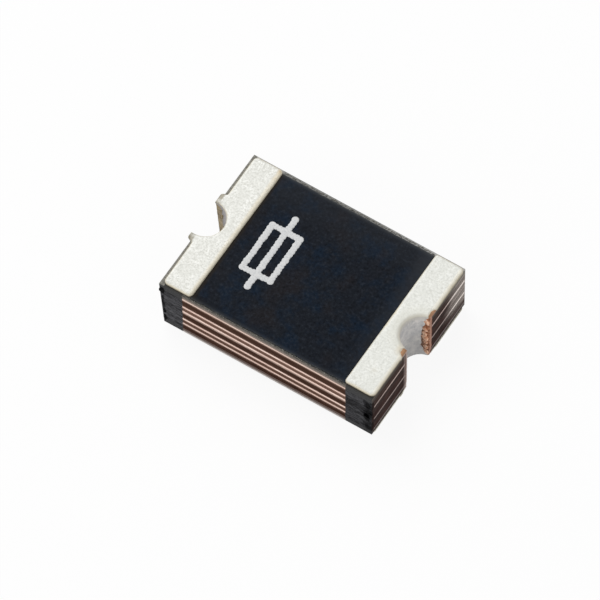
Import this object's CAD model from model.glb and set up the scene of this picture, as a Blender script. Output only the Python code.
# %% [markdown]
# A surface-mount resettable fuse, dressed for a close look.
#
# The part is a bonded stack of polymer plates and copper foils, only 4.6 mm long. Half a
# plated hole is left in the middle of each sawn end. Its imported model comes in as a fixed
# frame, in metres. Flat sawn layers keep their own solids here and get a finish. Rounded,
# torn or printed things are built again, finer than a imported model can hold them.

# %% Frame and sizes
import math

import bmesh
import bpy
from mathutils import Matrix, Vector, noise


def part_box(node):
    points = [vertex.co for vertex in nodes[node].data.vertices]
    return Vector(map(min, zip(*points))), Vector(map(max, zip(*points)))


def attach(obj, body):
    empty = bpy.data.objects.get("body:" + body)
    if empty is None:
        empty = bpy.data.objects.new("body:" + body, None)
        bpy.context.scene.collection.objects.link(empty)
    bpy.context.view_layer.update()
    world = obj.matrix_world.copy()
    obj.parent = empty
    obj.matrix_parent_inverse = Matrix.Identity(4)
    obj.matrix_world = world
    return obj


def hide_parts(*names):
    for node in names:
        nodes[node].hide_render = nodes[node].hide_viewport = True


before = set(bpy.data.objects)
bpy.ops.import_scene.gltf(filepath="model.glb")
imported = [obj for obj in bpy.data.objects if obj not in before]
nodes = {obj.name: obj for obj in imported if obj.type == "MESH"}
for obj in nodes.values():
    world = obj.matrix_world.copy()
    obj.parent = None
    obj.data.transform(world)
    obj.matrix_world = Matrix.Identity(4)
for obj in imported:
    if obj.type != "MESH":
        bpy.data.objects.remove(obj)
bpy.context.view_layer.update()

# In millimetres from the part's middle: the right end, a long side and a hole's axis. The
# holes and the mask lie SHIFT_Y off it. LAMINATE is the stack's bottom and top.
MM = 0.001
END_X = 2.275
SIDE_Y = 1.62
HOLE_X = 2.335
SHIFT_Y = -0.02
LAMINATE = (0.075, 1.395)
HEIGHT = 1.47
DRILL_R = 0.44
LEAN = math.tan(math.radians(4))
SKEW = math.tan(math.radians(0.4))

# %% [markdown]
# The camera comes first, because every finish is judged through it. Its place was worked out
# from the block's corners: it looks down at the part by about sixty degrees, from the front
# and a little to the right, through a very long lens. A long lens keeps parallel edges
# almost parallel, as they are in a product photograph.

# %% Camera
AZIMUTH = 0.5662060
ELEVATION = 1.0565595
ROLL = -0.0059758
DISTANCE = 184.759
AIM = (13.636, 11.566)
FOCAL = 10000
AIM_Z = 0.098

back = Vector((
    math.sin(AZIMUTH) * math.cos(ELEVATION),
    -math.cos(AZIMUTH) * math.cos(ELEVATION),
    math.sin(ELEVATION),
))
across = (-back).cross(Vector((0, 0, 1))).normalized()
upwards = across.cross(-back)
right_axis = across * math.cos(ROLL) + upwards * math.sin(ROLL)
up_axis = upwards * math.cos(ROLL) - across * math.sin(ROLL)
eye = back * DISTANCE + Vector((0, 0, AIM_Z))
eye += (up_axis * AIM[1] - right_axis * AIM[0]) * DISTANCE / FOCAL

lens = bpy.data.cameras.new("bench_camera")
lens.sensor_width = 36
lens.lens = 600
lens.clip_start = 0.01
lens.clip_end = 10
camera = bpy.data.objects.new("bench_camera", lens)
bpy.context.collection.objects.link(camera)
turn = Matrix((right_axis, up_axis, back)).transposed().to_4x4()
camera.matrix_world = Matrix.Translation(eye * MM) @ turn
bpy.context.scene.camera = camera
print("camera stands", round(DISTANCE), "mm away")

# %% [markdown]
# Shader maths reads best as plain sums. The class below wraps one output of a node tree, and
# Python's own signs on it add Math nodes, so `1 - mask` works. One method of the tree's
# helper, `node`, adds any other node. The same two serve materials and geometry trees.

# %% Sums on sockets
class Link:
    """One output of a node tree. Python's signs on it add Math nodes."""

    def __init__(self, recipe, socket):
        self.recipe = recipe
        self.socket = socket

    def sum(self, operation, *values):
        settings = {"operation": operation}
        return self.recipe.node("ShaderNodeMath", settings, dict(enumerate(values)))

    def __add__(self, other):
        return self.sum("ADD", self, other)

    def __sub__(self, other):
        return self.sum("SUBTRACT", self, other)

    def __rsub__(self, other):
        return self.sum("SUBTRACT", other, self)

    def __mul__(self, other):
        return self.sum("MULTIPLY", self, other)

    def __truediv__(self, other):
        return self.sum("DIVIDE", self, other)

    def __pow__(self, other):
        return self.sum("POWER", self, other)

    def __abs__(self):
        return self.sum("ABSOLUTE", self)

    __radd__ = __add__
    __rmul__ = __mul__

    def rises(self, low, high):
        """0 below low, 1 above high, smooth between. It falls where low is the larger."""
        settings = {"interpolation_type": "SMOOTHSTEP"}
        falls = low > high
        values = {"Value": self, "From Min": min(low, high), "From Max": max(low, high),
                  "To Min": float(falls), "To Max": float(not falls)}
        return self.recipe.node("ShaderNodeMapRange", settings, values)


# %% Any node by its name
class Recipe:
    """A node tree, with one method for any node."""

    def __init__(self, tree):
        self.tree = tree

    def node(self, kind, settings=None, values=None, outlet=0):
        made = self.tree.nodes.new(kind)
        for name, value in (settings or {}).items():
            setattr(made, name, value)
        for name, value in (values or {}).items():
            self.plug(self.inlet(made, name), value)
        if isinstance(outlet, str):
            found = next(s for s in made.outputs if s.identifier == outlet or s.name == outlet)
        else:
            found = made.outputs[outlet]
        return Link(self, found)

    def inlet(self, made, name):
        if isinstance(name, int):
            return made.inputs[name]
        named = [s for s in made.inputs if s.identifier == name]
        named += [s for s in made.inputs if s.name == name and s.enabled]
        return named[0]

    def plug(self, inlet, value):
        if isinstance(value, Link):
            self.tree.links.new(value.socket, inlet)
        else:
            inlet.default_value = value


print("sums and nodes are ready")

# %% [markdown]
# Every finish below is a Principled shader on Object coordinates. A material's helper turns
# them into millimetres at once, so that a grain of 0.03 means 0.03 mm. Colours are written as
# a photographer reads them, from 0 to 255, and turned into the renderer's linear light.

# %% Finishes in millimetres
def paint(red, green, blue):
    """A colour read off a screen, as linear light."""
    linear = [((c / 255 + 0.055) / 1.055) ** 2.4 if c > 10 else c / 255 / 12.92
              for c in (red, green, blue)]
    return (*linear, 1.0)


class Finish(Recipe):
    """A material whose patterns are measured in millimetres."""

    def __init__(self, name, **uniform):
        self.material = bpy.data.materials.new(name)
        self.material.use_nodes = True
        super().__init__(self.material.node_tree)
        self.shader = self.tree.nodes["Principled BSDF"]
        for slot, value in uniform.items():
            self.shader.inputs[slot.replace("_", " ")].default_value = value
        coordinates = self.node("ShaderNodeTexCoord", outlet="Object")
        scale = {"operation": "SCALE"}
        self.place = self.node("ShaderNodeVectorMath", scale,
                               {"Vector": coordinates, "Scale": 1000.0})
        self.x, self.y, self.z = (self.along(self.place, axis) for axis in "XYZ")

    def along(self, vector, axis):
        return self.node("ShaderNodeSeparateXYZ", None, {"Vector": vector}, axis)

    def grain(self, size, stretch=(1, 1, 1), detail=2.0, rough=0.5, offset=(0, 0, 0)):
        """Noise from 0 to 1, whose lumps are about size millimetres wide."""
        squeeze = tuple(1 / (size * s) for s in stretch)
        mapped = self.node("ShaderNodeMapping", None,
                           {"Vector": self.place, "Scale": squeeze, "Location": offset})
        values = {"Vector": mapped, "Scale": 1.0, "Detail": detail, "Roughness": rough}
        return self.node("ShaderNodeTexNoise", {"noise_dimensions": "3D"}, values, "Fac")

    def blend(self, share, first, second):
        """The first colour where share is 0, and the second where it is 1."""
        values = {"Factor_Float": share, "A_Color": first, "B_Color": second}
        return self.node("ShaderNodeMix", {"data_type": "RGBA"}, values, "Result_Color")

    def over(self, tint, *layers):
        """Tints laid over a first one, in turn. A layer is the share it covers and its tint."""
        colour = paint(*tint)
        for share, tint in layers:
            colour = self.blend(share, colour, paint(*tint))
        return colour

    def facing(self, axis):
        """How far the surface faces along an axis, from -1 to 1, before any bump."""
        return self.along(self.node("ShaderNodeNewGeometry", outlet="True Normal"), axis)

    def set(self, **links):
        for slot, value in links.items():
            self.plug(self.shader.inputs[slot.replace("_", " ")], value)

    def bump(self, height, microns):
        values = {"Height": height, "Distance": microns * 1e-6, "Strength": 1.0}
        self.set(Normal=self.node("ShaderNodeBump", None, values))


print("white paper reads as", [round(c, 3) for c in paint(230, 230, 224)])

# %% [markdown]
# The studio is a pale table under one large soft light, up at the left and a little behind,
# as the bright left edges of the lands show. A weaker one in front and a weak sky fill the
# shadows. Together they give a level surface a light of about one, so a colour renders about
# as it is written. Metal mirrors its surroundings, so sky and table are near white in
# reflections and to the camera.

# %% Sky
def seen_directly(recipe, with_mirrors=True):
    """1 for what the camera sees, at once or in a reflection, and 0 for light."""
    kinds = ("Camera", "Glossy", "Transmission") if with_mirrors else ("Camera",)
    rays = [recipe.node("ShaderNodeLightPath", outlet=f"Is {kind} Ray") for kind in kinds]
    seen = rays[0]
    for ray in rays[1:]:
        seen = seen.sum("MAXIMUM", seen, ray)
    return seen


world = bpy.data.worlds.new("studio_sky")
world.use_nodes = True
bpy.context.scene.world = world
sky = Recipe(world.node_tree)
SKY_LIGHT = 0.5
SKY_MIRRORED = 0.85
strength = SKY_LIGHT + seen_directly(sky) * (SKY_MIRRORED - SKY_LIGHT)
strength = strength + seen_directly(sky, False) * (1.0 - SKY_MIRRORED)
background = world.node_tree.nodes["Background"]
background.inputs["Color"].default_value = (1, 1, 1, 1)
sky.plug(background.inputs["Strength"], strength)
print("sky lights with", SKY_LIGHT, "and is mirrored with", SKY_MIRRORED)

# %% Table
TABLE_REACH = 0.6
TABLE_GLOW = 0.9
table_mesh = bpy.data.meshes.new("table")
table_mesh.from_pydata(
    [(x * TABLE_REACH, y * TABLE_REACH, 0) for x, y in ((-1, -1), (1, -1), (1, 1), (-1, 1))],
    [], [(0, 1, 2, 3)])
table = bpy.data.objects.new("table", table_mesh)
bpy.context.collection.objects.link(table)
paper = Finish("pale_table", Roughness=0.9, Specular_IOR_Level=0.0)
paper.set(Base_Color=(0.985, 0.985, 0.985, 1))
glow = paper.node("ShaderNodeEmission", None, {"Strength": 1.0})
lit = Link(paper, paper.shader.outputs["BSDF"])
both = paper.node("ShaderNodeMixShader", None,
                  {0: seen_directly(paper) * TABLE_GLOW, 1: lit, 2: glow})
paper.plug(paper.tree.nodes["Material Output"].inputs["Surface"], both)
table_mesh.materials.append(paper.material)
print("table reaches", TABLE_REACH, "m each way")

# %% Soft lights
def softbox(name, direction, distance, size, level):
    """A square light. Level is the share of full light that it gives a surface facing it."""
    lamp = bpy.data.lights.new(name, "AREA")
    lamp.shape = "SQUARE"
    lamp.size = size * MM
    spread = (size / distance) ** 2
    lamp.energy = level * math.pi / spread * math.pi * (size * MM) ** 2
    box = bpy.data.objects.new(name, lamp)
    bpy.context.collection.objects.link(box)
    towards = Vector(direction).normalized()
    box.location = towards * distance * MM
    box.rotation_euler = towards.to_track_quat("Z", "Y").to_euler()
    print(name, "gives", level, "with", round(lamp.energy, 4), "W")


softbox("key_light", (-0.75, 0.35, 1.1), 120, 90, 0.5)
softbox("front_fill", (-0.2, -0.9, 0.6), 120, 70, 0.14)

# %% [markdown]
# The sawn layers come first. A saw leaves fine lines along its cut, so the finishes here are
# stretched along X and Y. Near the ends the long sides show no foil: the saw smeared resin
# over them, and they are plain dark grey, with black spots along the front upright corners.

# %% Saw marks
def saw_streaks(finish):
    """Fine lines that the saw left, along the cut."""
    return finish.grain(0.012, (28, 28, 1), detail=3.0, rough=0.6)


def near_ends(finish):
    """1 at the plain ends of the long sides, 0 between them."""
    ragged = finish.grain(0.05, (1, 1, 0.5)) * 0.05 - 0.025
    left = (finish.x + ragged).rises(-1.815, -1.84)
    right = (finish.x + ragged).rises(1.69, 1.715)
    return left.sum("MAXIMUM", left, right)


def on_sawn_end(finish):
    """1 on the two sawn end faces, 0 on the long sides."""
    return abs(finish.facing("X")).rises(0.7, 0.9)


def from_hole(finish):
    """Distance from the axis of the nearer half hole, in millimetres."""
    along = abs(finish.x) - HOLE_X
    across_hole = finish.y - SHIFT_Y
    return (along * along + across_hole * across_hole) ** 0.5


# The blackest spots on the front long side: X, Z, half width, half height and strength
BLACK_SPOTS = ((2.165, 0.67, 0.065, 0.13, 1.0), (2.19, 1.08, 0.06, 0.1, 0.6),
               (2.17, 0.33, 0.045, 0.08, 0.5))


def blackened(finish, colour):
    """Soot and black spots along the front upright corners, most of it on the right one."""
    blots = finish.grain(0.15, (1, 1, 1.2), detail=4.0, rough=0.65, offset=(2, 0, 4))
    front = finish.y.rises(-1.5, -1.6)
    reach = finish.x.rises(2.0, 2.14) + finish.x.rises(-2.17, -2.25) * 0.8
    near = reach * front * finish.z.rises(1.34, 1.2)
    soot = (blots + near * 0.31 - 0.3).rises(0.39, 0.49) * near.rises(0.02, 0.2)
    colour = finish.blend(soot * 0.65, colour, paint(22, 22, 23))
    for x, z, half_wide, half_tall, depth in BLACK_SPOTS:
        sideways = (finish.x - x) / half_wide
        upwards = (finish.z - z) / half_tall
        away = (sideways * sideways + upwards * upwards) ** 0.5 + blots * 1.2 - 0.6
        colour = finish.blend(away.rises(1.3, 0.7) * front * depth, colour, paint(3, 3, 4))
    return colour


def beside_hole(finish, end):
    """Metal that the saw smeared on the right end face, beside its half hole."""
    metal = finish.over((124, 86, 70), (finish.y.rises(0.1, -0.1), (158, 141, 136)))
    smeared = from_hole(finish).rises(0.52, 0.45) * finish.x.rises(0, 1)
    return finish.blend(smeared * 0.85, end, metal)


def copper_drawn(finish):
    """1 beside all foils but the lowest, where the saw drew copper out, 0 away from them."""
    drawn = None
    for name in nodes:
        if name.startswith("electrode_foil"):
            low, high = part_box(name)
            middle = (low[2] + high[2]) / 2 / MM - 0.005
            if middle < 0.2:
                continue
            here = abs(finish.z - middle).rises(0.08, 0.02)
            drawn = here if drawn is None else drawn.sum("MAXIMUM", drawn, here)
    return drawn


print("saw marks are ready")

# %% Sawn polymer
def sawn(name, low, high, smear, end_colour):
    """Low and high are the colour of the long sides near the bottom and near the top, smear
    that of their plain ends, and end_colour that of the sawn ends."""
    finish = Finish(name, Specular_IOR_Level=0.0)
    x, y, z = finish.x, finish.y, finish.z
    streaks = saw_streaks(finish)
    clouds = finish.grain(0.16, (2, 2, 0.7), detail=3.0)
    drawn = copper_drawn(finish)
    shreds = finish.grain(0.03, (5, 5, 1), detail=3.0, offset=(1, 5, 0)).rises(0.25, 0.75)
    third_line = z.rises(0.73, 0.79) * z.rises(0.835, 0.8)
    side = finish.over(
        low,
        (z.rises(0.3, 0.95), high),
        (clouds.rises(0.3, 0.75) * 0.25, (110, 84, 72)),
        (drawn * (0.15 + shreds * 0.4), (196, 166, 150)),
        (third_line * (0.5 + shreds * 0.4), (216, 190, 176)))
    grit = finish.grain(0.045, (2.6, 2.6, 1), detail=3.0, rough=0.65)
    layers = finish.grain(0.2, (20, 20, 1), detail=1.0, offset=(0, 0, 3))
    marks = streaks * 0.35 + grit * 0.4 + layers * 0.25
    corner = finish.over(
        [c * 0.8 for c in smear],
        (marks.rises(0.42, 0.6), [c * 1.7 for c in smear]),
        (0.16 + x.rises(-0.5, 0.5) * 0.14, (24, 24, 24)))
    side = finish.blend(near_ends(finish), side, corner)
    brushed = finish.grain(0.026, (1, 16, 1), detail=3.0, rough=0.7)
    broad = finish.grain(0.16, (1, 7, 1), detail=2.0, offset=(0, 2, 1))
    shine = (y + broad * 0.5 - 0.25).rises(0.85, 1.42) * z.rises(0.12, 0.6)
    shine = shine * (1 - z.rises(1.02, 1.1) * 0.2)
    shine = shine * (0.35 + brushed.rises(0.38, 0.58) * 0.65) * x.rises(-1, 1)
    bright_lines = drawn * shine.rises(0.1, 0.7)
    end = finish.over(
        end_colour,
        (clouds.rises(0.3, 0.8), [c * 1.35 for c in end_colour]),
        (z.rises(0.7, 1.25) * 0.45, (84, 74, 68)),
        (shine, (172, 164, 157)),
        (bright_lines * (0.3 + brushed * 0.7), (206, 192, 184)))
    colour = finish.blend(on_sawn_end(finish), side, beside_hole(finish, end))
    colour = blackened(finish, colour)
    finish.set(Base_Color=colour, Roughness=0.8 - streaks * 0.2)
    finish.bump(streaks, 4)
    return finish.material


FINISHES = {
    "ptc_core": sawn("sawn_polymer", (64, 43, 35), (71, 50, 41), (61, 61, 63), (66, 52, 49)),
    "bond_sheet": sawn("sawn_bond_resin", (92, 66, 55), (114, 86, 74), (60, 60, 62),
                       (63, 53, 51)),
}
print("sawn layers:", list(FINISHES))

# %% Sawn copper foil
def sawn_foil():
    finish = Finish("sawn_foil", Metallic=1.0, Specular_IOR_Level=0.5)
    x, y, z = finish.x, finish.y, finish.z
    streaks = saw_streaks(finish)
    clouds = finish.grain(0.22, (1.6, 1.6, 0.4), detail=3.0)
    side = finish.over(
        (232, 203, 190),
        (clouds.rises(0.3, 0.8), (250, 228, 216)),
        (z.rises(1.18, 1.26) * 0.4, (200, 178, 164)),
        (z.rises(0.46, 0.42) * 0.4, (196, 166, 152)),
        (z.rises(0.26, 0.22) * 0.97, (86, 65, 57)))
    shine = y.rises(0.9, 1.3) * z.rises(0.3, 0.5) * x.rises(-1, 1)
    end = finish.over(
        (106, 92, 90),
        (z.rises(0.15, 1.0), (188, 166, 158)),
        (shine, (238, 228, 221)),
        (y.rises(-0.9, -1.5) * 0.45, (106, 92, 88)))
    colour = finish.blend(on_sawn_end(finish), side, beside_hole(finish, end))
    finish.set(Base_Color=colour, Roughness=0.42 + streaks * 0.2)
    finish.bump(streaks, 3)
    return finish.material


FINISHES["electrode_foil"] = sawn_foil()
print("foils show as", len([n for n in nodes if n.startswith("electrode")]), "bright lines")

# %% Outer resin sheets
def cover_resin():
    finish = Finish("cover_resin", Specular_IOR_Level=0.2)
    x, y, z = finish.x, finish.y, finish.z
    streaks = saw_streaks(finish)
    dust = finish.grain(0.035, (2.2, 1, 1), detail=4.0, rough=0.65)
    side = finish.over(
        (82, 78, 74),
        (dust.rises(0.35, 0.7), (120, 112, 104)),
        (z.rises(1.4, 1.3) * 0.85, (150, 136, 126)),
        (z.rises(0.4, 0.3), (94, 77, 70)),
        (z.rises(0.165, 0.085) * 0.9, (220, 212, 207)),
        (near_ends(finish), (58, 58, 59)))
    far_strip = finish.over(
        (150, 150, 147),
        (x.rises(0.2, 1.5) * 0.7, (196, 196, 194)),
        (abs(x).rises(1.62, 1.7), (206, 204, 198)))
    flat = finish.over(
        (58, 58, 58),
        (dust.rises(0.35, 0.65), (112, 108, 100)),
        (near_ends(finish), (62, 61, 59)))
    flat = finish.blend(y.rises(1.5, 1.58) * (0.6 + dust * 0.4), flat, far_strip)
    outside_left = finish.over((112, 110, 103), (dust.rises(0.3, 0.7), (158, 156, 148)))
    flat = finish.blend(x.rises(-2.22, -2.24), flat, outside_left)
    under_land = z.rises(1.29, 1.39) * (0.3 + y.rises(-1.6, 0.4) * 0.7)
    end = finish.over(
        (66, 56, 50),
        (under_land, (140, 130, 112)),
        (y.rises(0.7, 1.4) * z.rises(0.6, 1.2), (132, 127, 117)))
    colour = finish.blend(abs(finish.facing("Z")).rises(0.5, 0.8), side, flat)
    colour = finish.blend(on_sawn_end(finish), colour, beside_hole(finish, end))
    colour = blackened(finish, colour)
    finish.set(Base_Color=colour, Roughness=0.85 - streaks * 0.2)
    finish.bump(dust, 5)
    return finish.material


FINISHES["cover_sheet"] = cover_resin()
for name, node in nodes.items():
    for kind, material in FINISHES.items():
        if name.startswith(kind):
            for place in node.material_slots:
                place.material = material
            if not node.material_slots:
                node.data.materials.append(material)
print("dressed", sum(n.startswith(tuple(FINISHES)) for n in nodes), "sawn layers")

# %% [markdown]
# Tin, bare copper, solder mask and ink are the finishes of the pieces that are built below.
# The tin on the lands is matt with a sandy grain and a few hair scratches. Down in the half
# holes it is a cooler grey, and along the rounded edges it turns cream and then brown.

# %% Matt tin
def above_laminate(finish):
    """Height over the laminate's top face or under its bottom one, negative between them."""
    return abs(finish.z - HEIGHT / 2) - (LAMINATE[1] - HEIGHT / 2)


def matt_tin():
    finish = Finish("matt_tin", Specular_IOR_Level=0.5)
    x, y, z = finish.x, finish.y, finish.z
    sand = finish.grain(0.04, detail=3.5, rough=0.7)
    flecks = finish.grain(0.05, detail=1.0, offset=(3, 1, 2))
    clouds = finish.grain(0.2, detail=3.0)
    hairs = abs(finish.grain(0.7, (1, 0.6, 1), detail=1.5, offset=(5, 2, 0)) - 0.5)
    on_left = x.rises(0.1, -0.1)
    on_right = x.rises(0, 1)
    inner_left = x.rises(-1.76, -1.69) * on_left
    golden = (x + clouds * 0.1).rises(-1.72, -1.63)
    golden = golden * (y + clouds * 0.3).rises(1.4, 1.7) * on_left
    ring = from_hole(finish).rises(0.68, 0.48) * on_right
    near_ear = ring * y.rises(-0.25, -0.4) * x.rises(2.05, 2.17)
    lip = from_hole(finish).rises(0.47, 0.42) * on_right
    height = above_laminate(finish)
    wobble = sand * 0.012 + clouds * 0.03 - 0.015
    edge = height + wobble
    upper = z.rises(0.6, 0.8)
    at_ends = abs(finish.facing("X")).rises(0.3, 0.8) * (0.1 + y.rises(-1.6, -0.4) * 0.75)
    brown = upper * (1 - at_ends)
    flat = finish.over(
        (207, 207, 200),
        (sand.rises(0.32, 0.68), (245, 245, 240)),
        (flecks.rises(0.6, 0.72) * 0.5, (252, 252, 249)),
        (flecks.rises(0.38, 0.26) * 0.5, (190, 189, 181)),
        (clouds.rises(0.35, 0.7) * 0.5, (217, 217, 210)),
        (hairs.rises(0.008, 0.0) * 0.3, (180, 179, 170)),
        (x.rises(-1, 1) * 0.35, (221, 223, 217)),
        (inner_left * (0.3 + clouds * 0.3), (220, 206, 174)),
        (golden * 0.8, (198, 172, 128)),
        (x.rises(2.205, 2.235) * 0.65, (249, 244, 229)),
        (ring * (0.25 + clouds * 0.4), (212, 211, 200)),
        (near_ear * 0.6, (206, 194, 170)),
        (edge.rises(0.078, 0.056) * (0.4 + upper * 0.5), (224, 216, 194)),
        (edge.rises(0.056, 0.034) * upper, (176, 166, 144)),
        (edge.rises(0.034, 0.018) * brown, (118, 110, 94)),
        (edge.rises(0.02, 0.008) * brown, (74, 68, 58)),
        (lip * 0.7, (212, 209, 198)))
    haze = finish.grain(0.11, (1, 1, 1.5), detail=4.0, rough=0.65)
    marks = finish.grain(0.03, (1, 1, 5), detail=3.0)
    deep_rim = z.rises(1.27, 1.4) * x.rises(2.2, 2.05) * x.rises(0, 0.5)
    wall = finish.over(
        (190, 191, 192),
        (haze.rises(0.3, 0.75), (232, 230, 226)),
        (marks.rises(0.4, 0.8) * 0.35, (172, 171, 177)),
        (z.rises(1.33, 1.39) * 0.45, (226, 222, 212)),
        (deep_rim * 0.25, (168, 163, 152)),
        (z.rises(1.0, 0.5) * 0.3, (150, 148, 146)),
        (x.rises(0.5, -0.5) * 0.65, (128, 122, 124)))
    inside = from_hole(finish).rises(0.5, 0.44)
    colour = finish.blend(inside * height.rises(0.06, 0.02), flat, wall)
    left_lips = (x + wobble).rises(-2.262, -2.292) * (1 - inside * 0.5)
    colour = finish.blend(left_lips, colour, paint(168, 163, 149))
    rim = (x + wobble).rises(-2.32, -2.36) * (1 - inside * 0.5)
    colour = finish.blend(rim * 0.7, colour, paint(118, 111, 92))
    finish.set(Base_Color=colour, Metallic=0.3, Roughness=0.5 + sand * 0.2)
    finish.bump(sand + flecks, 5)
    return finish.material


# %% Bare copper
def bare_copper(name, bright, dark, deep, ear, cut_back, cut_front):
    """Plated copper where the saw tore the tin off, and its own cut edge."""
    finish = Finish(name, Metallic=0.7, Specular_IOR_Level=0.5)
    crumbs = finish.grain(0.03, (1, 1, 0.7), detail=4.0, rough=0.65)
    ribs = finish.grain(0.075, (2.2, 2.2, 0.7), detail=3.0, rough=0.6)
    inner = (END_X - abs(finish.x) + ribs * 0.05).rises(0.1, 0.15)
    spots = crumbs.rises(0.56, 0.66) * finish.y.rises(-0.2, -0.35) * finish.z.rises(1.0, 1.2)
    colour = finish.over(
        dark,
        ((crumbs * 0.4 + ribs * 0.6).rises(0.38, 0.62), bright),
        (inner * 0.95, deep),
        (spots * 0.7, deep),
        (finish.z.rises(0.7, 0.2) * 0.45, deep),
        (finish.facing("Z").rises(0.3, 0.7) * 0.75, ear))
    cut = finish.over(cut_back, (finish.y.rises(0.1, -0.1), cut_front))
    colour = finish.blend(abs(finish.facing("X")).rises(0.85, 0.95), colour, cut)
    finish.set(Base_Color=colour, Roughness=0.38 + crumbs * 0.3)
    finish.bump(crumbs + ribs, 9)
    return finish.material


TIN = matt_tin()
COPPER = {
    "left": bare_copper("smeared_copper", (170, 154, 122), (116, 101, 76), (92, 80, 62),
                        (150, 136, 108), (176, 150, 138), (176, 150, 138)),
    "right": bare_copper("torn_copper", (206, 158, 126), (136, 90, 66), (96, 68, 50),
                         (166, 130, 98), (168, 118, 94), (172, 154, 147)),
}
print("metal finishes:", TIN.name, *[m.name for m in COPPER.values()])

# %% Copper crumbs, resin crumbs and dust
def crumbly(name, light, dark, metallic, size, roughness=0.5, mirror=0.15):
    """A plain rough finish for small torn bits."""
    finish = Finish(name, Metallic=metallic, Specular_IOR_Level=mirror)
    specks = finish.grain(size, detail=3.0, rough=0.6)
    finish.set(Base_Color=finish.over(dark, (specks.rises(0.3, 0.7), light)),
               Roughness=roughness + specks * 0.2)
    finish.bump(specks, 4)
    return finish.material


CRUMB = {
    "torn": crumbly("torn_ridge_copper", (255, 222, 196), (224, 162, 126), 0.35, 0.045, 0.32),
    "smeared": crumbly("smeared_ridge_copper", (186, 172, 140), (132, 114, 86), 0.5, 0.03),
    "resin": crumbly("black_resin_crumbs", (38, 38, 39), (12, 12, 13), 0.0, 0.04, 0.75, 0.0),
    "dust": crumbly("mask_edge_dust", (138, 135, 127), (86, 85, 82), 0.0, 0.04, 0.7),
}
print("crumbs of", list(CRUMB))

# %% Solder mask and ink
def solder_mask():
    finish = Finish("solder_mask", Specular_IOR_Level=0.05)
    x, y = finish.x, finish.y
    specks = finish.grain(0.06, detail=3.0, rough=0.8)
    clouds = finish.grain(0.42, detail=4.0, rough=0.65)
    tint = finish.grain(0.7, detail=2.0, offset=(4, 7, 1))
    paler = x.rises(1.3, 1.62) * (0.2 + y.rises(-1.2, 1.2) * 0.25)
    paler = paler + y.rises(0.6, 1.5) * 0.22
    from_front = y + (SIDE_Y - 0.01)
    from_back = (SIDE_Y - 0.068) - y
    edge = from_front.sum("MINIMUM", from_front, from_back)
    haze = (edge + specks * 0.1 - 0.05).rises(0.1, 0.0)
    fringe = (edge + specks * 0.06 - 0.03).rises(0.035, 0.0)
    colour = finish.over(
        (22, 26, 33),
        (clouds.rises(0.45, 0.7) * 0.8, (13, 30, 47)),
        (tint.rises(0.5, 0.68) * 0.55, (33, 29, 30)),
        (specks.rises(0.5, 0.26) * 0.95, (3, 6, 12)),
        (specks.rises(0.48, 0.76) * 0.75, (45, 50, 58)),
        (paler, (53, 56, 61)),
        (x.rises(-1.56, -1.63) * 0.8, (38, 33, 27)),
        (haze * 0.4, (74, 77, 80)),
        (fringe * 0.6, (96, 96, 94)))
    finish.set(Base_Color=colour, Roughness=0.46 + specks * 0.2)
    finish.bump(specks, 2)
    return finish.material


def white_ink():
    finish = Finish("white_ink", Roughness=0.75, Specular_IOR_Level=0.2)
    specks = finish.grain(0.03, detail=3.0)
    colour = finish.over((208, 210, 211), (specks.rises(0.3, 0.7), (230, 230, 229)))
    finish.set(Base_Color=colour)
    finish.bump(specks, 3)
    return finish.material


MASK = solder_mask()
INK = white_ink()
print("board finishes:", MASK.name, INK.name)

# %% [markdown]
# A terminal is one plated skin: a land on the top face, a land on the bottom face, and the
# half tube between them. All its outer edges are round, as plating leaves them. The recipe is
# a rule: walk round the land's outline, carry each point up, inwards and over by a quarter
# circle, and close the top. A first helper walks the outline and notes, at each point, which
# way is inwards.

# %% Walk round an outline
ARC_STEP = 0.012


def rounded_path(corners, step=0.02):
    """Points, inward directions and corner numbers along a closed outline with round corners.
    Corners are (x, y, radius), anticlockwise."""
    points = []
    total = len(corners)
    for k in range(total):
        before, here, after, beyond = (Vector(corners[(k + j) % total][:2])
                                       for j in (-1, 0, 1, 2))
        radius, next_radius = corners[k][2], corners[(k + 1) % total][2]
        arriving, leaving = (here - before).normalized(), (after - here).normalized()
        inward = Vector((-arriving.y, arriving.x))
        side = 1 if arriving.cross(leaving) > 0 else -1
        angle = math.acos(max(-1, min(1, arriving.dot(leaving))))
        centre = here - arriving * radius * math.tan(angle / 2) + inward * radius * side
        count = max(3, math.ceil(radius * angle / ARC_STEP))
        for j in range(count + 1):
            a = angle * j / count * side
            spoke = Matrix.Rotation(a, 2) @ (-inward * side)
            points.append((centre + spoke * radius, -spoke * side, k))
        next_angle = math.acos(max(-1, min(1, leaving.dot((beyond - after).normalized()))))
        start = here + leaving * radius * math.tan(angle / 2)
        stop = after - leaving * next_radius * math.tan(next_angle / 2)
        pieces = max(1, round((stop - start).length / step))
        for j in range(1, pieces):
            points.append((start.lerp(stop, j / pieces), Vector((-leaving.y, leaving.x)), k))
    return points


tile = rounded_path([(0, 0, 0.1), (1, 0, 0.1), (1, 1, 0.1), (0, 1, 0.1)])
print("the walk round a tile of 1 mm has", len(tile), "points")

# %% Patches of quads
def patch(mesh, rows, closed=False):
    """Joins rows of points into quads."""
    grid = [[mesh.verts.new(p) for p in row] for row in rows]
    width = len(rows[0])
    for upper, lower in zip(grid, grid[1:]):
        for j in range(width if closed else width - 1):
            k = (j + 1) % width
            mesh.faces.new((upper[j], upper[k], lower[k], lower[j]))
    return grid


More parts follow.
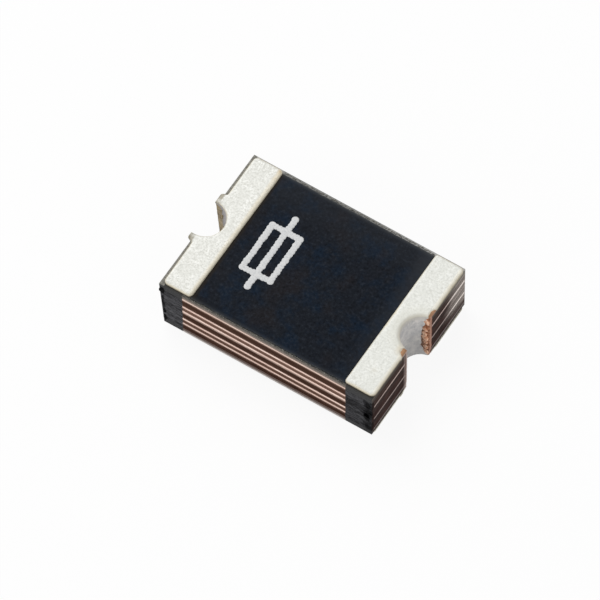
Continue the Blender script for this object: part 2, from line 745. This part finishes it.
def plain_mesh(name, mesh, smooth_below=38):
    """Turns faces outwards, goes from millimetres to metres, and shades smoothly."""
    bmesh.ops.recalc_face_normals(mesh, faces=mesh.faces)
    bmesh.ops.scale(mesh, verts=mesh.verts, vec=(MM, MM, MM))
    data = bpy.data.meshes.new(name)
    mesh.to_mesh(data)
    mesh.free()
    for face in data.polygons:
        face.use_smooth = True
    data.set_sharp_from_angle(angle=math.radians(smooth_below))
    return data


def as_piece(name, data, material, stands_for=()):
    """Makes a mesh a piece of the part."""
    data.materials.clear()
    data.materials.append(material)
    data.polygons.foreach_set("material_index", [0] * len(data.polygons))
    piece = bpy.data.objects.new(name, data)
    bpy.context.collection.objects.link(piece)
    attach(piece, "root")
    if stands_for:
        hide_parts(*stands_for)
    print(name, len(data.polygons), "faces")


def welded(name, mesh):
    """Welds the seams of a mesh and makes it plain."""
    bmesh.ops.remove_doubles(mesh, verts=mesh.verts, dist=0.0004)
    bmesh.ops.triangulate(mesh, faces=[f for f in mesh.faces if len(f.verts) > 4])
    loose = sum(not e.is_manifold for e in mesh.edges)
    print(name, "has", loose, "open or doubled edges")
    return plain_mesh(name, mesh)


# %% [markdown]
# The saw comes last, as on the real part. Each point that stands out past the cut is pushed
# back onto it, which leaves a flat cut face. Higher up the rounding the cut lies further in,
# so the cut edge is rolled over. The left cut leans, the saw dragged small ears of metal out
# beside each half hole, and the torn edge of the tin wanders.

# %% Smooth steps and smooth noise
def smooth(value, low, high):
    """0 below low, 1 above high, smooth between."""
    share = max(0, min(1, (value - low) / (high - low)))
    return share * share * (3 - 2 * share)


def wander(seed, *place):
    """Smooth noise from -1 to 1."""
    spot = Vector([*place, 0, 0][:3]) + Vector((seed * 7.31, seed * 3.17, seed * 1.93))
    return noise.noise(spot)


# %% Where the saw ran
TUBE_WALL = 0.055
BORE_R = DRILL_R - TUBE_WALL
# Where each ear ends, along Y from the hole's axis, and how far it stands out: back, then front
EARS = {"left": ((0.61, 0.045), (0.53, 0.07)), "right": ((0.61, 0.01), (0.52, 0.01))}


def sawn_edge(side, v, z, land):
    """Where a terminal ends, from the axis of its hole inwards. V is measured along Y from
    that axis, and land is where the land's own edge lies."""
    saw = HOLE_X - END_X
    if side == "left":
        saw += (v + SHIFT_Y) * SKEW - (z - HEIGHT / 2) * LEAN
    ear_end, lip = EARS[side][0 if v > 0 else 1]
    ear = 1 - smooth(abs(v), ear_end - 0.04, ear_end + 0.05)
    lip *= smooth(z, 0.1, 0.4)
    plain = max(saw, land) if side == "left" else land
    return ear * (saw - lip) + (1 - ear) * plain


print("left cut at the top:", round(sawn_edge("left", 0.5, HEIGHT, 0.064), 3))

# %% One terminal's skin
TIN_THICK = 0.015
LAND_Y = (-1.58, 1.585)
LAND_CORNER_R = 0.095
# From the hole's axis inwards, at the front and then at the back of a land: where its outer
# edge lies, where its inner edge lies, and then how round the inner corners are
LANDS = {"left": ((0.064, 0.08), (0.676, 0.703), 0.085),
         "right": ((0.052, 0.044), (0.684, 0.664), 0.06)}
EAR_RING = 0.625
EAR_REACH = 0.3
EDGE_TALL = 0.052
EDGE_WIDE = 0.055
EDGE_STEPS = 7
WALL_STEPS = 66


def terminal(side, grow, roll, cut):
    """Grow is 0 for the tinned skin, and less than 0 for the copper in it. Roll is how far the
    cut edge is rolled over, as a share of the plated edge's rounding."""
    outer_edge, inner_edge, inner_r = LANDS[side]
    near_front, near_rear = (u - grow for u in outer_edge)
    far_front, far_rear = (u + grow for u in inner_edge)
    front, rear = LAND_Y[0] - SHIFT_Y - grow, LAND_Y[1] - SHIFT_Y + grow
    bore, ring, ear = BORE_R - grow, EAR_RING + grow, EAR_REACH
    tall, top = EDGE_TALL + grow, HEIGHT + grow
    corner, inner = LAND_CORNER_R + grow, inner_r + grow
    facing = 1 if side == "left" else -1
    outline = rounded_path([
        (near_front, front, corner), (far_front, front, inner),
        (far_rear, rear, inner), (near_rear, rear, corner),
        (near_rear, ring, 0.03), (-ear, ring, 0.06), (-ear, bore, 0.06),
        (bore, bore, bore), (bore, -bore, bore),
        (-ear, -bore, 0.06), (-ear, -ring, 0.06), (near_front, -ring, 0.03)])
    first = max(k for k, (_, _, tag) in enumerate(outline) if tag == 5) + 1
    last = min(k for k, (_, _, tag) in enumerate(outline) if tag == 9)
    notch = outline[first:last + 1]
    outer = outline[last:] + outline[:first + 1]
    behind = DRILL_R - bore

    def width(p, n):
        """The rounding is wider along the front, and at the upright end, but not at corners."""
        wide = EDGE_WIDE + grow
        if p.y < -1.2:
            inside = min(p.x - near_front, far_front - p.x)
            wide += 0.035 * max(0, n.y) * smooth(inside, 0.09, 0.2)
        if side == "right" and p.x < 0.2:
            wide += 0.02 * max(0, n.x) * smooth(min(p.y - front, rear - p.y), 0.09, 0.2)
        if side == "right" and abs(p.y) < bore:
            wide += 0.03 * smooth(p.x, 0.1, 0.25)
        return wide

    def at(p, z, inset=0.0):
        u = max(p.x, cut(p.y, z) + inset * roll)
        return ((u - HOLE_X) * facing, p.y + SHIFT_Y, z)

    mesh = bmesh.new()
    low, high = LAMINATE
    for flip in (False, True):
        def lift(z):
            return HEIGHT - z if flip else z
        rows = []
        for k in range(EDGE_STEPS + 2):
            a = min(1, k / EDGE_STEPS) * math.pi / 2
            z = lift(top - tall + tall * math.sin(a))
            row = []
            for p, n, _ in outline:
                inset = width(p, n) * (1 - math.cos(a)) + (0.003 if k > EDGE_STEPS else 0)
                row.append(at(p + n * inset, z, inset))
            rows.append(row)
        grid = patch(mesh, rows, closed=True)
        mesh.faces.new(grid[-1])
        patch(mesh, [[at(p, lift(z)) for p, _, _ in outer] for z in (top - tall, high)])
        edge = [at(p, lift(high)) for p, _, _ in outer]
        edge += [at(p + n * behind, lift(high)) for p, n, _ in notch]
        mesh.faces.new([mesh.verts.new(p) for p in edge])
    down = [high + (low - high) * k / WALL_STEPS for k in range(WALL_STEPS + 1)]
    levels = [top - tall, *down, HEIGHT - top + tall]
    patch(mesh, [[at(p, z) for p, _, _ in notch] for z in levels])
    patch(mesh, [[at(p + n * behind, z) for p, n, _ in notch] for z in levels[1:-1]])
    for p, n, _ in (notch[0], notch[-1]):
        patch(mesh, [[at(p, z), at(p + n * behind, z)] for z in levels[1:-1]])
    return mesh


# %% Cuts through copper and tin
def copper_cut(side):
    def cut(v, z):
        ragged = 0.005 * wander(1, v * 9, z * 9)
        return sawn_edge(side, v, z, 0.079 if side == "left" else 0.059) - ragged
    return cut


def tin_cut_left(v, z):
    """On the left the ears kept their tin, and only the wall's outer band lost it."""
    band = 0.14 + 0.02 * wander(2, v * 3, z * 9) + 0.012 * wander(3, v * 3, z * 34)
    in_wall = smooth(z, 0.1, 0.14) * smooth(1.39 - z, 0, 0.05) * smooth(0.46 - abs(v), 0, 0.03)
    return sawn_edge("left", v, z, 0.064) - 0.005 + band * in_wall


def tin_cut_right(v, z):
    """On the right the torn band runs over the upper ears and down the wall."""
    edge = sawn_edge("right", v, z, 0.044) - 0.005
    ragged = 0.02 * wander(4, v * 14, z * 10) + 0.008 * wander(5, v * 30, z * 14)
    ear_end = 0.64 if v > 0 else 0.63
    over_ear = (0.036 if v > 0 else 0.058) + ragged * (0.6 if v > 0 else 1.1)
    over_ear *= smooth(ear_end - abs(v), 0, 0.14) * smooth(z, 0.9, 1.3)
    down_wall = 0.15 * smooth(z, -0.1, 0.4) * smooth(0.47 - abs(v), 0, 0.02)
    down_wall *= 1 - 0.5 * smooth(z, 0.95, 1.35)
    scallops = 0.005 * math.sin(z * math.tau / 0.17) + 0.016 * wander(9, z * 4)
    scallops *= smooth(z, 0.1, 0.3)
    in_wall = smooth(0.47 - abs(v), 0, 0.02) * smooth(1.41 - z, 0, 0.04)
    return edge + over_ear * (1 - in_wall) + (down_wall + scallops + ragged * 0.4) * in_wall


STANDS_FOR = {"copper": ("plated_copper", "land_foil_top", "land_foil_bottom"),
              "tin": ("tin_plating",)}
for side, tin_cut, tin_roll in (("left", tin_cut_left, 1.0), ("right", tin_cut_right, 0.8)):
    for name, grow, roll, cut, material in (
            ("copper", -TIN_THICK, 1.0, copper_cut(side), COPPER[side]),
            ("tin", 0.0, tin_roll, tin_cut, TIN)):
        made = welded(f"{name}_terminal_{side}", terminal(side, grow, roll, cut))
        as_piece(f"{name}_terminal_{side}", made, material,
                 [f"{part}_{side}" for part in STANDS_FOR[name]])

# %% [markdown]
# The solder mask is a thin skin between the lands. It was printed a little short of the saw
# cuts, and its long edges are ragged there. The same walk round an outline makes it, with a
# little noise on each point of the long edges.

# %% Ragged solder mask
MASK_THICK = 0.03
MASK_EDGE = 0.01
MASK_HALF_X = END_X - 0.595
MASK_HALF_Y = SIDE_Y - 0.048


def mask_sheet(face):
    outline = rounded_path([(x * MASK_HALF_X, y * MASK_HALF_Y, MASK_EDGE) for x, y in
                            ((-1, -1), (1, -1), (1, 1), (-1, 1))], step=0.012)
    ragged = []
    for p, n, _ in outline:
        on_long_side = smooth(abs(p.y), MASK_HALF_Y - 0.02, MASK_HALF_Y)
        fray = 0.008 * wander(6, p.x * 22, p.y) + 0.006 * wander(7, p.x * 60, p.y)
        fray += 0.008 * wander(8, p.x * 5, p.y)
        ragged.append((p + n * (0.004 + fray) * on_long_side, n))
    rows = [[(*p, 0) for p, n in ragged]]
    for k in range(5):
        a = k / 4 * math.pi / 2
        inset = MASK_EDGE * (1 - math.cos(a))
        z = MASK_THICK - MASK_EDGE + MASK_EDGE * math.sin(a)
        rows.append([(*(p + n * inset), z) for p, n in ragged])
    mesh = bmesh.new()
    grid = patch(mesh, rows, closed=True)
    mesh.faces.new(grid[0])
    mesh.faces.new(grid[-1])
    for v in mesh.verts:
        v.co.y += SHIFT_Y
        v.co.z = LAMINATE[1] + v.co.z if face == "top" else LAMINATE[0] - v.co.z
    return mesh


for face in ("top", "bottom"):
    made = welded(f"mask_{face}", mask_sheet(face))
    as_piece(f"mask_{face}", made, MASK, [f"solder_mask_{face}"])

# %% [markdown]
# Four things repeat along a line: the dots of the print, the ridges that the saw tore up in
# the copper, the black crumbs at the front corners, and the dust along the mask's edge. One
# geometry tree sets any small shape at each step along lines, with some disorder in its size,
# place and turn. Only its inputs differ.

# %% A tree that sets things along lines
def tree_with(name, inputs):
    """An empty geometry tree with named inputs, and the identifiers of those inputs."""
    group = bpy.data.node_groups.new(name, "GeometryNodeTree")
    face = group.interface
    face.new_socket("Geometry", in_out="INPUT", socket_type="NodeSocketGeometry")
    face.new_socket("Geometry", in_out="OUTPUT", socket_type="NodeSocketGeometry")
    keys = {}
    for label, (kind, default) in inputs.items():
        socket = face.new_socket(label, in_out="INPUT", socket_type="NodeSocket" + kind)
        if default is not None:
            socket.default_value = default
        keys[label] = socket.identifier
    recipe = Recipe(group)
    given = {s.name: Link(recipe, s) for s in group.nodes.new("NodeGroupInput").outputs}
    return recipe, given, group.nodes.new("NodeGroupOutput"), keys


recipe, given, sink, ROW_KEYS = tree_with("things_along_lines", {
    "Pitch": ("Float", 0.07 * MM),
    "Size Disorder": ("Float", 0.08),
    "Place Disorder": ("Vector", (0, 0, 0)),
    "Turn Disorder": ("Vector", (0, 0, 0)),
    "Thing": ("Object", None),
    "Finish": ("Material", None),
    "Seed": ("Int", 3),
})


def scattered(label, seed_shift):
    """A random vector between minus and plus an input."""
    most = given[label]
    least = recipe.node("ShaderNodeVectorMath", {"operation": "SCALE"},
                        {"Vector": most, "Scale": -1.0})
    return recipe.node("FunctionNodeRandomValue", {"data_type": "FLOAT_VECTOR"},
                       {"Min": least, "Max": most, "Seed": given["Seed"] + seed_shift}, "Value")


curves = recipe.node("GeometryNodeMeshToCurve", None, {"Mesh": given["Geometry"]})
spots = recipe.node("GeometryNodeResampleCurve", {"mode": "LENGTH"},
                    {"Curve": curves, "Length": given["Pitch"]})
spots = recipe.node("GeometryNodeCurveToPoints", {"mode": "EVALUATED"}, {"Curve": spots},
                    "Points")
spots = recipe.node("GeometryNodeSetPosition", None,
                    {"Geometry": spots, "Offset": scattered("Place Disorder", 1)})
size = recipe.node("FunctionNodeRandomValue", {"data_type": "FLOAT"}, {
    "Min_001": 1 - given["Size Disorder"], "Max_001": 1 + given["Size Disorder"],
    "Seed": given["Seed"]}, "Value_001")
turned = recipe.node("FunctionNodeEulerToRotation", None,
                     {"Euler": scattered("Turn Disorder", 2)})
thing = recipe.node("GeometryNodeObjectInfo", None, {"Object": given["Thing"]}, "Geometry")
row = recipe.node("GeometryNodeInstanceOnPoints", None,
                  {"Points": spots, "Instance": thing, "Scale": size, "Rotation": turned})
row = recipe.node("GeometryNodeRealizeInstances", None, {"Geometry": row})
row = recipe.node("GeometryNodeSetMaterial", None,
                  {"Geometry": row, "Material": given["Finish"]})
recipe.plug(sink.inputs["Geometry"], row)
ROW_TREE = recipe.tree
print("the tree has", len(ROW_TREE.nodes), "nodes")

# %% Run the tree and keep a plain mesh
def row_of(name, thing, lines, pitch, finish, size=0.08, place=(0, 0, 0),
           turn=(0, 0, 0), seed=3, stands_for=()):
    """Sets a thing along lines, given in millimetres, and makes the result a piece."""
    points = [tuple(c * MM for c in p) for line in lines for p in line]
    source = bpy.data.meshes.new(name + "_lines")
    source.from_pydata(points, [(2 * k, 2 * k + 1) for k in range(len(lines))], [])
    holder = bpy.data.objects.new(name + "_lines", source)
    bpy.context.collection.objects.link(holder)
    step = holder.modifiers.new("row", "NODES")
    step.node_group = ROW_TREE
    values = {"Pitch": pitch * MM, "Size Disorder": size, "Turn Disorder": turn,
              "Place Disorder": tuple(c * MM for c in place), "Thing": thing,
              "Finish": finish, "Seed": seed}
    for label, value in values.items():
        step[ROW_KEYS[label]] = value
    ready = holder.evaluated_get(bpy.context.evaluated_depsgraph_get())
    data = bpy.data.meshes.new_from_object(ready)
    data.name = name
    holder.modifiers.clear()
    bpy.data.objects.remove(holder)
    as_piece(name, data, finish, stands_for)


# %% Small shapes for the rows
def domed_dot(radius, height, sides=18, rings=3):
    """A flat ink dot with a round rim."""
    mesh = bmesh.new()
    rows = []
    for k in range(rings + 1):
        a = k / rings * math.pi / 2
        r = radius * math.cos(a) ** 0.6 if k < rings else radius * 0.05
        rows.append([(r * math.cos(t * math.tau / sides), r * math.sin(t * math.tau / sides),
                      height * math.sin(a)) for t in range(sides)])
    grid = patch(mesh, rows, closed=True)
    mesh.faces.new(grid[-1])
    mesh.faces.new(grid[0])
    return bpy.data.objects.new("ink_dot", plain_mesh("ink_dot", mesh))


def lump(name, half_sizes, turn_z=0.0, seed=1, rough=0.25, finer=2):
    """A small uneven lump. Its half sizes are along X, Y and Z, before its turn about Z."""
    mesh = bmesh.new()
    bmesh.ops.create_icosphere(mesh, subdivisions=finer, radius=1)
    for v in mesh.verts:
        v.co *= 1 + rough * wander(seed, *(v.co * 1.4))
        v.co = Vector(c * h for c, h in zip(v.co, half_sizes))
    bmesh.ops.rotate(mesh, verts=mesh.verts, matrix=Matrix.Rotation(turn_z, 3, "Z"))
    return bpy.data.objects.new(name, plain_mesh(name, mesh, 60))


# %% Fuse symbol in dots
# The symbol is the plain drawing sign of a fuse: a box with a line through it.
MARK_X = 1.36 - END_X
MARK_Z = LAMINATE[1] + MASK_THICK
strokes = [((0, -0.83), (0, 0.83))]
for s in (-1, 1):
    strokes.append(((s * 0.3, -0.52), (s * 0.3, 0.52)))
    strokes.append(((-0.3, s * 0.52), (0.3, s * 0.52)))
strokes = [[(x + MARK_X, y, MARK_Z) for x, y in line] for line in strokes]
row_of("ink_marking", domed_dot(0.065, 0.0115), strokes, 0.07, INK,
       place=(0.006, 0.006, 0), stands_for=["marking_ink"])

# %% [markdown]
# The torn ridges lie across the wall of a half hole, just inside the sawn end, one above the
# other. Each is a lump, turned to lie along the wall. The right hole has large bright ones,
# and the left hole small dull ones.

# %% Torn ridges in the half holes
def wall_place(side, v_sign, u, z):
    """A place on a half hole's wall, u inwards from the hole's axis."""
    x = HOLE_X - u
    v = v_sign * math.sqrt(BORE_R * BORE_R - u * u)
    return (-x if side == "left" else x, SHIFT_Y + v, z)


def along_wall(side, v_sign, u):
    """The direction of the wall there, as a turn about Z."""
    slant = math.asin(u / BORE_R)
    return slant * v_sign * (1 if side == "left" else -1)


for v_sign, label, bulk, inset in ((1, "back", 1.0, 0.01), (-1, "front", 0.5, 0.04)):
    ridge = lump("torn_ridge", (0.09 * bulk, 0.034 * bulk, 0.053 * bulk),
                 along_wall("right", v_sign, 0.14), 4, rough=0.5)
    places = [wall_place("right", v_sign, u + inset, z)
              for u, z in ((0.095, 1.3), (0.125, 1.02), (0.14, 0.87), (0.1, 0.2))]
    lines = [places[:2], places[2:]]
    row_of(f"torn_ridges_{label}", ridge, lines, 0.155, CRUMB["torn"], size=0.28,
           place=(0.012, 0.002, 0.016), turn=(0.12, 0.25, 0.12), seed=5 + v_sign)
    ridge = lump("dull_ridge", (0.022, 0.012, 0.024), along_wall("left", v_sign, 0.14), 6)
    line = [wall_place("left", v_sign, 0.13, 1.3), wall_place("left", v_sign, 0.2, 0.16)]
    row_of(f"dull_ridges_{label}", ridge, [line], 0.085, CRUMB["smeared"], size=0.5,
           place=(0.018, 0.002, 0.022), turn=(0.1, 0.3, 0.1), seed=8 + v_sign)

# %% [markdown]
# At the two front upright corners the saw left black crumbs of resin, with a thick clot high
# on the left one. Along the long edges of the mask lies a grey dust of resin and ink. All are
# rows of flat lumps.

# %% Black crumbs at the front corners
def corner_line(x_sign, low, high, inset):
    """A line up a front upright corner of the sawn block."""
    ends = []
    for z in (low, high):
        x = x_sign * END_X
        if x_sign < 0:
            x -= (z - HEIGHT / 2) * LEAN + SIDE_Y * SKEW
        ends.append((x - x_sign * inset, 0.006 - SIDE_Y, z))
    return ends


crumb = lump("resin_crumb", (0.05, 0.016, 0.075), 0, 9, rough=0.6)
row_of("corner_crumbs_right", crumb, [corner_line(1, 0.3, 1.08, 0.075)], 0.195,
       CRUMB["resin"], size=0.5, place=(0.035, 0.001, 0.04), turn=(0, 0.9, 0), seed=2)
crumb = lump("resin_crumb", (0.036, 0.016, 0.09), 0, 9, rough=0.5)
row_of("corner_crumbs_left", crumb, [corner_line(-1, 0.24, 0.95, 0.045)], 0.21,
       CRUMB["resin"], size=0.4, place=(0.004, 0.001, 0.02), turn=(0, 0.15, 0), seed=7)
crumb = lump("resin_clot", (0.06, 0.03, 0.078), 0, 5, rough=0.3)
row_of("corner_clot_left", crumb, [corner_line(-1, 1.2, 1.26, 0.045)], 0.05,
       CRUMB["resin"], size=0.15, place=(0.006, 0.001, 0.01), turn=(0, 0.3, 0), seed=4)

# %% Dust along the mask's edges
DUST_X = 1.62
flake = lump("dust_flake", (0.024, 0.01, 0.007), 0, 3, rough=0.4, finer=1)
lines = [[(-DUST_X, y, LAMINATE[1]), (DUST_X, y, LAMINATE[1])]
         for y in (0.014 - SIDE_Y, SIDE_Y - 0.036)]
row_of("edge_dust", flake, lines, 0.03, CRUMB["dust"], size=0.5,
       place=(0.02, 0.01, 0.001), turn=(0, 0, 0.8), seed=12)

# %% [markdown]
# That leaves the size test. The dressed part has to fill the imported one's box and hardly leave
# it, so both boxes are written down, in metres, and printed in millimetres.

# %% Sizes and the last line
bpy.context.scene.view_settings.view_transform = "Standard"
bpy.context.view_layer.update()
